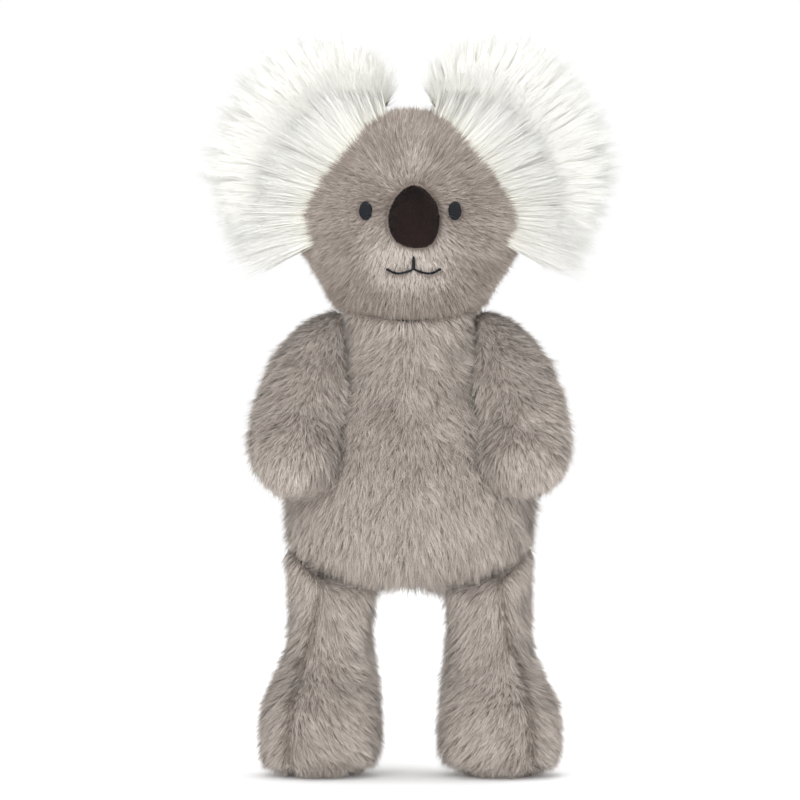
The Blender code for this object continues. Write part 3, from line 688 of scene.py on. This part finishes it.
def grow_pile(skin, name, body, slot, values, *groom):
    """One piece of pile on a skin; groom is its comb, reach, tone and density, for each point or for all."""
    carrier = placed(name + "_carrier", skin.data.copy())
    for title, value in zip(("comb", "reach", "tone", "density"), groom):
        set_values(carrier.data, title, value)
    mesh = run_tree(kept_by(bpy.data.node_groups, "Pile", pile_tree), carrier, values)
    bpy.data.objects.remove(carrier)
    mesh.name = name

    def strand_values(title, field="vector", width=3):
        found = np.empty(len(mesh.vertices) * width, np.float32)
        mesh.attributes[title].data.foreach_get(field, found)
        return found.reshape(-1, width)

    normals = unit(strand_values("root_normal"))
    sideways = unit(strand_values("across"))
    side = strand_values("side", "value", 1)
    kept = {"position", PILE_UV, "sharp_face", "material_index"}
    for title in [a.name for a in mesh.attributes if not a.name.startswith(".") and a.name not in kept]:
        mesh.attributes.remove(mesh.attributes[title])
    # Light falls on a strand as on the cloth that it grows from, rounded a little from side to side.
    # Whichever of its sides is seen, the light falls on that side.
    facing = points_of(mesh, "normals")
    away = np.minimum((normals * facing).sum(1, keepdims=True), 0)
    rounded = (normals - facing * away * 2) * CLOTH_LIGHT + facing * FACE_LIGHT + sideways * side * SIDE_LIGHT
    mesh.shade_smooth()
    mesh.normals_split_custom_set_from_vertices(unit(rounded))
    obj = placed(name, mesh)
    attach(obj, body)


def across_skin(comb, normals):
    """The comb, laid along the skin."""
    return unit(comb - normals * (comb * normals).sum(1, keepdims=True))


def kept_by(store, name, make):
    """A material or a node tree that is made once and then found by its name."""
    return store.get(name) or make(name)


def pile_values(material, seed, bare=None, droop=0.0, floor=NO_FLOOR, **sizes):
    """What the pile's tree is given; no strand grows behind the object bare."""
    return {**sizes, "droop": droop, "floor": floor, "Seed": seed, "Material": material, "bare": bare}


def grey_values(plush, seed, **others):
    colours = "dark_root dark_tip light_root light_tip"
    grey = kept_by(bpy.data.materials, "Grey pile", lambda name: pile_finish(name, plush, colours, 0.8, 0.18))
    sizes = {"strand": plush.strand, "tuft": plush.tuft, "pull": 0.5, "untidy": 0.6, "spread": 0.5}
    return pile_values(grey, seed, **{**sizes, "lift": 0.75, **others})


def white_values(ears, seed, spread):
    inks = "shade shade root tip"
    white = kept_by(bpy.data.materials, "White pile", lambda name: pile_finish(name, ears, inks, 0.75, 0.1))
    sizes = {"strand": ears.strand, "tuft": ears.tuft, "pull": 0.4, "untidy": 0.26, "spread": spread}
    return pile_values(white, seed, droop=0.08, lift=0.3, **sizes)


def cloth_of(plush):
    return kept_by(bpy.data.materials, "Grey cloth", lambda name: cloth_finish(name, tuple(plush.cloth)))


def thread_of(face):
    dark, light = tuple(face.thread), tuple(face.thread_light)
    return kept_by(bpy.data.materials, "Charcoal thread", lambda name: thread_finish(name, dark, light))


def dress(skin, material, body, slot, fill, *nodes):
    """Give a padded skin its material, let it ride on its body and hide its CAD nodes."""
    skin.data.materials.clear()
    skin.data.materials.append(material)
    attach(skin, body)
    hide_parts(*nodes)


def round_head(points):
    """Seen from the front: the way from the head's middle to points, and how far up from it, in degrees."""
    offset = points - corners("head_cover").sum(axis=0) / 2
    return offset, np.degrees(np.arctan2(offset[:, 2], np.abs(offset[:, 0])))


def under_ears(points, normals):
    """1 on the sides of the head that the roots of the ears' pile cover, in front of the ears."""
    _, turn = round_head(points)
    inside = smooth(turn, -18, -14) * (1 - smooth(turn, 73, 77))
    turned = EAR_SEAM - 0.22 * smooth(turn, 50, 75)
    aside = 1 - smooth(-normals[:, 1], turned - 0.05, turned + 0.05)
    return inside * aside * (1 - smooth(normals[:, 1], 0.1, 0.4))


class DressHead(bpy.types.Operator):
    """The head's stuffed skin and its pile, combed away from the bridge of the nose"""

    bl_idname = "koala.head"
    bl_label = "Head"

    def execute(self, context):
        plush = context.scene.koala_plush
        eyes = ("eye_left", "eye_right")
        mouth = ("mouth_stitch_left", "mouth_stitch_right", "lip_stitch")
        features = ("nose_cover", *eyes, *mouth)
        raised = surface_of(*features)
        sewn = sink_by(plush.sink, "body_cover")

        def sink(points):
            near = smooth(distance_to(raised, points), 0.003, 0.016)
            beside = RAISED_DEPTH + (plush.sink - RAISED_DEPTH) * near
            return np.minimum(beside, sewn(points))

        skin = wrapped_skin("head_skin", ("head_cover", "head_stuffing"), plush.detail, sink)
        puffed(skin, lambda p: 1 - smooth(distance_to(raised, p), 0.006, 0.02) * 0.999, plush.puff)
        points, normals = cloth_points(skin)
        bridge = np.array((0.0, -0.042, 0.262))
        behind = smooth(points[:, 1], 0.0, 0.04)[:, None]
        comb = across_skin(unit(points - bridge) * (1 - behind) + DOWN * behind, normals)
        eye_gap = distance_to(surface_of(*eyes), points)
        mouth_gap = distance_to(surface_of(*mouth), points)
        near = distance_to(raised, points)
        reach = plush.face_pile + (plush.head_pile - plush.face_pile) * smooth(near, 0.004, 0.024)
        reach = np.minimum(reach, np.minimum(0.0013 + 0.7 * mouth_gap, 0.0019 + 0.55 * eye_gap))
        muzzle = 1 - smooth(np.linalg.norm(points - (0.0, -0.045, 0.228), axis=1), 0.008, 0.034)
        cheek = 1 - smooth(np.abs(points[:, 2] - 0.240), 0.008, 0.028)
        cheek = cheek * smooth(np.abs(points[:, 0]), 0.024, 0.040) * smooth(-points[:, 1], -0.01, 0.02)
        blaze = 1 - smooth(np.hypot(points[:, 0] - 0.002, points[:, 2] - 0.276), 0.003, 0.009)
        blaze = blaze * smooth(-points[:, 1], 0.0, 0.02)
        tone = 0.12 + 0.62 * muzzle + 0.10 * cheek + 0.30 * blaze
        neck = smooth(np.hypot(points[:, 0], points[:, 1] - 0.008) + (points[:, 2] > 0.23), 0.014, 0.021)
        bare = link("bare_under", mesh_from(cad_form(*features), "bare_under"))
        for end, half, seed in (("front", -normals[:, 1], 11), ("back", normals[:, 1], 12)):
            share_here = smooth(half, -0.02, 0.02)
            density = plush.density * share_here * neck * (1 - 0.9 * under_ears(points, normals))
            values = grey_values(plush, seed, bare=bare, tuft=plush.head_tuft)
            grow_pile(skin, "head_pile_" + end, "head", "grey_plush", values, comb, reach, tone, density)
        bpy.data.objects.remove(bare)
        self.ear_roots(context.scene.koala_ears, skin)
        dress(skin, cloth_of(plush), "head", "grey_plush", 0.8, "head_cover", "head_stuffing")
        return {"FINISHED"}

    @staticmethod
    def ear_roots(ears, skin):
        """White pile on the sides of the head, that leads over the ears' seams."""
        points, normals = cloth_points(skin)
        offset, _ = round_head(points)
        comb = unit(unit(offset * (1.0, 0.0, 1.0)) + (0.0, 0.12, 0.0))
        density = ears.density * under_ears(points, normals)
        groom = (comb, ears.root_pile, WHITE_TONE, density)
        grow_pile(skin, "ear_root_pile", "head", "white_pile", white_values(ears, 15, 0.7), *groom)


class DressBody(bpy.types.Operator):
    """The body's stuffed skin and its pile, combed down and outwards"""

    bl_idname = "koala.body"
    bl_label = "Body"

    def execute(self, context):
        plush = context.scene.koala_plush
        nodes = ("body_cover", "body_stuffing")
        skin = wrapped_skin("body_skin", nodes, plush.detail, sink_by(plush.sink, *COVERS_AT_BODY))
        drawn_in(skin)
        low, high = corners("body_cover")

        def held(points):
            ends = np.minimum(points[:, 2] - low[2], high[2] - points[:, 2])
            return 1 - 0.999 * smooth(ends, 0.004, 0.02)

        puffed(skin, held, plush.puff)
        points, normals = cloth_points(skin)
        chest = smooth(points[:, 2], 0.172, 0.186)
        aside = np.sign(points[:, 0]) * smooth(np.abs(points[:, 0]), 0.0, 0.006) * (0.15 + 0.35 * chest)
        comb = np.tile(DOWN, (len(points), 1))
        comb[:, 0] += aside
        comb = across_skin(comb, normals)
        hem = 1 - smooth(points[:, 2], 0.092, 0.112)
        reach = plush.body_pile * (0.75 + 0.25 * smooth(high[2] - points[:, 2], 0.0, 0.02) + 0.35 * hem)
        hidden = self.hidden(points, normals)
        for end, half, seed in (("front", -normals[:, 1], 21), ("back", normals[:, 1], 22)):
            density = plush.density * smooth(half, -0.02, 0.02) * (1 - 0.7 * hidden)
            values = grey_values(plush, seed, untidy=0.85)
            grow_pile(skin, "body_pile_" + end, "torso", "grey_plush", values, comb, reach, 0.48, density)
        dress(skin, cloth_of(plush), "torso", "grey_plush", 0.8, *nodes)
        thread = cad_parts["neck_thread"]
        thread.data.materials.clear()
        thread.data.materials.append(thread_of(context.scene.koala_face))
        return {"FINISHED"}

    @staticmethod
    def hidden(points, normals):
        """1 where the head, an arm or a leg stands within a few millimetres in front of the cloth."""
        near = surface_of(*COVERS_AT_BODY)
        found = [near.ray_cast(Vector(p), Vector(n), 0.012)[0] for p, n in zip(points, normals)]
        return np.array([float(hit is not None) for hit in found])


class DressArms(bpy.types.Operator):
    """The arms' stuffed skins and their pile, combed towards the hands"""

    bl_idname = "koala.arms"
    bl_label = "Arms"

    def execute(self, context):
        plush = context.scene.koala_plush
        for number, (side, sign) in enumerate(SIDES):
            nodes = ("arm_cover_" + side, "arm_stuffing_" + side)
            sewn = sink_by(plush.sink, "body_cover")
            skin = wrapped_skin("arm_skin_" + side, nodes, plush.detail * 0.65, sewn)
            drawn_in(skin)
            top = corners(nodes[0])[1][2]
            puffed(skin, lambda p: 1 - 0.999 * smooth(top - p[:, 2], 0.006, 0.024), plush.puff)
            points, normals = cloth_points(skin)
            comb = across_skin(np.tile(DOWN + (sign * 0.25, 0.1, 0.0), (len(points), 1)), normals)
            reach = plush.limb_pile * (1 - 0.4 * smooth(points[:, 2], 0.188, 0.206))
            inner = smooth(-sign * normals[:, 0], 0.2, 0.8) * 0.5
            values = grey_values(plush, 31 + number, lift=0.55)
            groom = (comb, reach, 0.5, plush.density * (1 - inner))
            grow_pile(skin, "arm_pile_" + side, "arm_" + side, "grey_plush", values, *groom)
            dress(skin, cloth_of(plush), "arm_" + side, "grey_plush", 0.75, *nodes)
        return {"FINISHED"}


class DressLegs(bpy.types.Operator):
    """The legs' stuffed skins, their soles and their pile, parted along the front seam"""

    bl_idname = "koala.legs"
    bl_label = "Legs and soles"

    def execute(self, context):
        plush = context.scene.koala_plush
        for number, (side, sign) in enumerate(SIDES):
            body = "leg_" + side
            nodes = ("leg_cover_" + side, "leg_stuffing_" + side)
            sewn = sink_by(plush.sink, "body_cover")
            skin = wrapped_skin("leg_skin_" + side, nodes, plush.detail * 0.8, sewn, flat_below=0.016)
            self.rounded_foot(skin, side)
            puffed(skin, lambda p: 1 - 0.999 * smooth(0.094 - p[:, 2], 0.0, 0.02), plush.puff)
            groom = self.groom(plush, skin, side, sign)
            values = grey_values(plush, 41 + number, floor=0.0)
            grow_pile(skin, "leg_pile_" + side, body, "grey_plush", values, *groom)
            dress(skin, cloth_of(plush), body, "grey_plush", 0.8, *nodes)

            sole_node = "foot_sole_" + side
            even = sink_by(plush.sink)
            sole = wrapped_skin("sole_skin_" + side, (sole_node,), plush.detail * 0.6, even, 2, 1.0)
            self.rounded_foot(sole, side)
            puffed(sole, lambda p: np.ones(len(p)), 0.0)
            *groom, density = self.groom(plush, sole, side, sign)
            density = density * smooth(points_of(sole.data)[:, 2], 0.0006, 0.0020)
            values = grey_values(plush, 51 + number, floor=0.0)
            grow_pile(sole, "sole_pile_" + side, body, "grey_plush", values, *groom, density)
            dress(sole, cloth_of(plush), body, "grey_plush", 0.6, sole_node)
        return {"FINISHED"}

    @staticmethod
    def rounded_foot(skin, side):
        """Draw the foot in towards the floor, as the sole's seam does."""
        points = points_of(skin.data)
        middle = corners("foot_sole_" + side).sum(axis=0) / 2
        tuck = 0.30 * (1 - np.clip(points[:, 2] / 0.014, 0, 1)) ** 2
        points[:, :2] += (middle[:2] - points[:, :2]) * tuck[:, None]
        move_points(skin.data, points)

    @staticmethod
    def groom(plush, skin, side, sign):
        points, normals = cloth_points(skin)
        middle = corners("leg_cover_" + side).sum(axis=0) / 2
        foot = 1 - smooth(points[:, 2], 0.014, 0.044)
        toe = 1 - smooth(points[:, 2], 0.003, 0.011)
        front = smooth(-normals[:, 1], 0.1, 0.4)
        seam_x = sign * (0.0406 + 0.0135 * smooth(0.090 - points[:, 2], 0.0, 0.075))
        from_seam = points[:, 0] - seam_x
        out = unit((points - middle) * (1.0, 1.0, 0.0))
        aside = np.sign(from_seam) * smooth(np.abs(from_seam), 0.0, 0.003) * front * (0.30 + 0.55 * foot)
        comb = DOWN + out * (0.15 + 0.35 * foot - 0.8 * toe)[:, None]
        comb[:, 0] += aside * (1 - toe)
        comb = across_skin(comb, normals)
        seam = (1 - smooth(np.abs(from_seam), 0.0004, 0.0026)) * front
        dimple = np.hypot(points[:, 0] - sign * 0.0257, points[:, 2] - 0.004)
        dimple = (1 - smooth(dimple, 0.001, 0.006)) * front
        seam_crease = np.maximum(seam, dimple)
        reach = plush.limb_pile * (1 - 0.5 * seam_crease) * (1 - 0.35 * toe)
        # The pile is shorter along the seam and the dimple, and darker there as painted shade in the crease.
        tone = 0.52 - 0.34 * seam_crease
        inner = smooth(-sign * normals[:, 0], 0.3, 0.9) * 0.4
        return comb, reach, tone, plush.density * (1 - inner)


class DressEars(bpy.types.Operator):
    """The ears' padded cores with long white pile, and their grey backs"""

    bl_idname = "koala.ears"
    bl_label = "Ears"

    def execute(self, context):
        plush = context.scene.koala_plush
        ears = context.scene.koala_ears
        cloth = cloth_finish("Ear cloth", tuple(ears.cloth), 500.0)
        head_low, head_high = corners("head_cover")
        middle = (head_low + head_high) / 2
        for number, (side, sign) in enumerate(SIDES):
            node = "ear_pile_" + side
            low, high = corners(node)
            root = np.array((sign * 0.029, (low[1] + high[1]) / 2, 0.272))
            skin = wrapped_skin("ear_skin_" + side, (node,), plush.detail, sink_by(0.0))
            points = points_of(skin.data)
            offset, _ = round_head(points)
            away = np.hypot(offset[:, 0], offset[:, 2])
            radius = (head_high[0] - head_low[0]) / 2 - 0.004
            nearer = (radius + (away - radius) * ears.core_reach) / away
            points[:, 0] = middle[0] + offset[:, 0] * nearer
            points[:, 2] = middle[2] + offset[:, 2] * nearer
            points[:, 1] = root[1] + (points[:, 1] - root[1]) * ears.core_depth
            move_points(skin.data, points)
            puffed(skin, lambda p: 1 - 0.999 * smooth(sign * (p[:, 0] - root[0]), 0.0, 0.012), plush.puff)
            points, normals = cloth_points(skin)
            mass = surface_of(node)
            heart = middle + (sign * 0.012, 0.0, 0.004)
            comb = unit(unit(points - heart) * (1.0, 0.35, 1.0) + normals * 0.30)
            far = np.array([self.way_out(mass, p, c) for p, c in zip(points, comb)])
            outside = smooth(distance_to(surface_of("head_cover"), points), 0.0, 0.002)
            reach = np.clip(far * 1.35, 0.013, 0.026)
            density = ears.density * np.maximum(outside, 0.5)
            groom = (comb, reach, WHITE_TONE, density)
            values = white_values(ears, 61 + number, 0.8)
            grow_pile(skin, "ear_long_pile_" + side, "ear_" + side, "white_pile", values, *groom)
            dress(skin, cloth, "ear_" + side, "white_pile", 0.5, node)

            back_node = "ear_back_" + side
            back = wrapped_skin("ear_back_skin_" + side, (back_node,), plush.detail * 0.7, sink_by(0.0))
            puffed(back, lambda p: np.ones(len(p)), 0.0)
            points, normals = cloth_points(back)
            comb = across_skin(unit(points - heart) + DOWN * 0.2, normals)
            density = plush.density * 0.9 * smooth(normals[:, 1], -0.4, 0.0)
            groom = (comb, ears.back_pile, 0.5, density)
            short = grey_values(plush, 71 + number)
            grow_pile(back, "ear_back_pile_" + side, "ear_" + side, "grey_plush", short, *groom)
            dress(back, cloth_of(plush), "ear_" + side, "grey_plush", 0.4, back_node)
        return {"FINISHED"}

    @staticmethod
    def way_out(mass, point, direction):
        """How far a point goes along a direction before it leaves the ear's mass."""
        hit = mass.ray_cast(Vector(point), Vector(direction), 0.2)
        return hit[3] if hit[0] is not None else 0.004


class DressNose(bpy.types.Operator):
    """The nose: a stuffed patch with a velour nap"""

    bl_idname = "koala.nose"
    bl_label = "Nose"

    def execute(self, context):
        face = context.scene.koala_face
        nodes = ("nose_cover", "nose_stuffing")
        skin = wrapped_skin("nose_skin", nodes, 0.0013, lambda p: np.full(len(p), face.velour_pile * 0.6))
        puffed(skin, lambda p: smooth(p[:, 1], -0.052, -0.046), 0.0006)
        points, normals = cloth_points(skin)
        comb = across_skin(np.tile(DOWN * 0.9 + (0.25, 0.0, 0.0), (len(points), 1)), normals)
        velour = pile_finish("Velour pile", face, "velour velour velour velour_tip", 0.9, 0.05)
        sizes = {"strand": 0.00016, "tuft": 0.0008, "pull": 0.4, "untidy": 0.9, "spread": 0.4, "lift": 1.1}
        density = face.velour_density * smooth(-normals[:, 1], -0.5, -0.1)
        groom = (comb, face.velour_pile, 0.45, density)
        grow_pile(skin, "nose_nap", "head", "nose_velour", pile_values(velour, 81, **sizes), *groom)
        cloth = cloth_finish("Velour", tuple(face.velour), 2600.0, 0.2)
        dress(skin, cloth, "head", "nose_velour", 0.9, *nodes)
        return {"FINISHED"}


class StitchFace(bpy.types.Operator):
    """Satin stitches of the eyes and the mouth"""

    bl_idname = "koala.stitches"
    bl_label = "Eyes and mouth"

    def execute(self, context):
        face = context.scene.koala_face
        tree = stitch_tree()
        slant = {"eye_left": 52, "eye_right": 128, "lip_stitch": 0}
        slant.update({"mouth_stitch_left": 65, "mouth_stitch_right": 115})
        for node, angle in slant.items():
            low, high = corners(node)
            middle = (low + high) / 2
            span = float(np.hypot(high[0] - low[0], high[2] - low[2])) + 0.001
            turn = math.radians(angle)
            along = Vector((math.cos(turn), 0.0, math.sin(turn)))
            step = Vector((-math.sin(turn), 0.0, math.cos(turn))) * face.pitch
            bm = cad_form(node)
            if "stitch" in node:
                self.fine_line(bm, node)
            base = bpy.data.meshes.new(node + "_base")
            bm.to_mesh(base)
            carrier = link(node + "_carrier", base)
            values = {
                "Middle": middle,
                "Step": step,
                "Along": along * span,
                "Count": int(span / face.pitch),
                "Radius": face.pitch * 0.55,
                "Material": thread_of(face),
            }
            mesh = run_tree(tree, carrier, values)
            bm.from_mesh(mesh)
            bm.to_mesh(mesh)
            bm.free()
            bpy.data.objects.remove(carrier)
            obj = link(node.replace("stitch", "satin").replace("eye", "eye_satin"), mesh, thread_of(face))
            if "missed" in mesh.attributes:
                mesh.attributes.remove(mesh.attributes["missed"])
            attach(obj, "head")
            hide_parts(node)
        return {"FINISHED"}

    @staticmethod
    def fine_line(bm, node):
        """Thin a mouth line about its middle, and lead it on to the place where the three lines meet."""
        points = np.array([vertex.co for vertex in bm.verts])
        meeting = corners("lip_stitch").mean(axis=0)[0]
        along, across = (2, 0) if node == "lip_stitch" else (0, 2)
        near = np.exp(-(((points[:, None, along] - points[None, :, along]) / 0.0008) ** 2))
        core = near @ points[:, across] / near.sum(axis=1)
        points[:, across] = core + (points[:, across] - core) * 0.6
        if node == "lip_stitch":
            top = points[:, 2].max()
            points[:, 2] = top + (points[:, 2] - top) * 1.35
        else:
            inner = 1 - smooth(np.abs(points[:, 0] - meeting), 0.001, 0.005)
            points[:, 0] += (meeting - points[:, 0]) * inner * 0.85
        for vertex, point in zip(bm.verts, points):
            vertex.co = point


class SetStage(bpy.types.Operator):
    """Floor, soft lamps, white surroundings and the camera"""

    bl_idname = "koala.stage"
    bl_label = "Stage"

    def execute(self, context):
        stage = context.scene.koala_stage
        scene = context.scene
        scene.view_settings.view_transform = "Standard"
        self.floor(stage)
        self.surroundings(scene)
        self.lamp("Key", (-0.7, -2.1, 0.55), 1.3, 32.0)
        self.lamp("Fill", (1.2, -1.9, 0.2), 1.5, 14.0)
        self.lamp("Top", (0.1, 0.1, 1.6), 0.7, 7.0)
        away = stage.camera_away
        lens = bpy.data.cameras.new("Camera")
        lens.sensor_width = 36
        lens.lens = 36 * away / (PHOTO_PIXELS * stage.pixel)
        lens.clip_start = 0.01
        camera = placed("Camera", lens)
        half = PHOTO_PIXELS / 2
        middle = (stage.ground_row - half) * stage.pixel
        lens.shift_y = (middle - stage.camera_height) / (PHOTO_PIXELS * stage.pixel)
        camera.location = ((half - stage.middle_column) * stage.pixel, -away, stage.camera_height)
        camera.rotation_euler = (math.radians(90), 0, 0)
        scene.camera = camera
        return {"FINISHED"}

    @staticmethod
    def floor(stage):
        bm = bmesh.new()
        bmesh.ops.create_grid(bm, x_segments=1, y_segments=1, size=6)
        material, g, shader = finish("Pale floor", 0.9, specular=0.0)
        shader.inputs["Base Color"].default_value = tuple(stage.floor)
        shader.inputs["Emission Color"].default_value = (1, 1, 1, 1)
        paint(g, shader, "Emission Strength", g.shader("LightPath").out("Is Camera Ray") * FLOOR_GLOW)
        obj = link("floor", mesh_from(bm, "floor"), material)

    @staticmethod
    def surroundings(scene):
        world = bpy.data.worlds.new("White surroundings")
        world.use_nodes = True
        scene.world = world
        sky = world.node_tree.nodes["Background"]
        sky.inputs["Color"].default_value = (1, 1, 1, 1)
        g = Graph(world.node_tree)
        strength = g.shader("LightPath").out("Is Camera Ray") * SKY_SEEN + SKY_LIGHT
        g.tree.links.new(strength.socket, sky.inputs["Strength"])

    @staticmethod
    def lamp(name, place, size, power):
        light = bpy.data.lights.new(name, "AREA")
        light.size = size
        light.energy = power
        obj = placed(name, light)
        obj.location = place
        obj.rotation_euler = (Vector((0, 0, 0.17)) - Vector(place)).to_track_quat("-Z", "Y").to_euler()


class KoalaPanel(bpy.types.Panel):
    """The toy's sizes and colours, and a button for each of its pieces"""

    bl_idname = "VIEW3D_PT_koala"
    bl_label = "Plush Koala"
    bl_space_type = "VIEW_3D"
    bl_region_type = "UI"
    bl_category = "Koala"

    def draw(self, context):
        for step in STEPS:
            self.layout.operator(step.bl_idname)
        for title, group in GROUPS.items():
            box = self.layout.box()
            settings = getattr(context.scene, title)
            box.label(text=group.__doc__)
            for name in group.__annotations__:
                box.prop(settings, name)


GROUPS = {
    "koala_plush": KoalaPlush,
    "koala_ears": KoalaEars,
    "koala_face": KoalaFace,
    "koala_stage": KoalaStage,
}
STEPS = (DressHead, DressBody, DressArms, DressLegs, DressEars, DressNose, StitchFace, SetStage)
CLASSES = (*GROUPS.values(), *STEPS, KoalaPanel)


def register():
    for item in CLASSES:
        bpy.utils.register_class(item)
    for title, group in GROUPS.items():
        setattr(bpy.types.Scene, title, bpy.props.PointerProperty(type=group))


def unregister():
    for title in GROUPS:
        delattr(bpy.types.Scene, title)
    for item in reversed(CLASSES):
        bpy.utils.unregister_class(item)


def main():
    register()
    for step in STEPS:
        family, name = step.bl_idname.split(".")
        getattr(getattr(bpy.ops, family), name)()


if __name__ == "__main__":
    main()
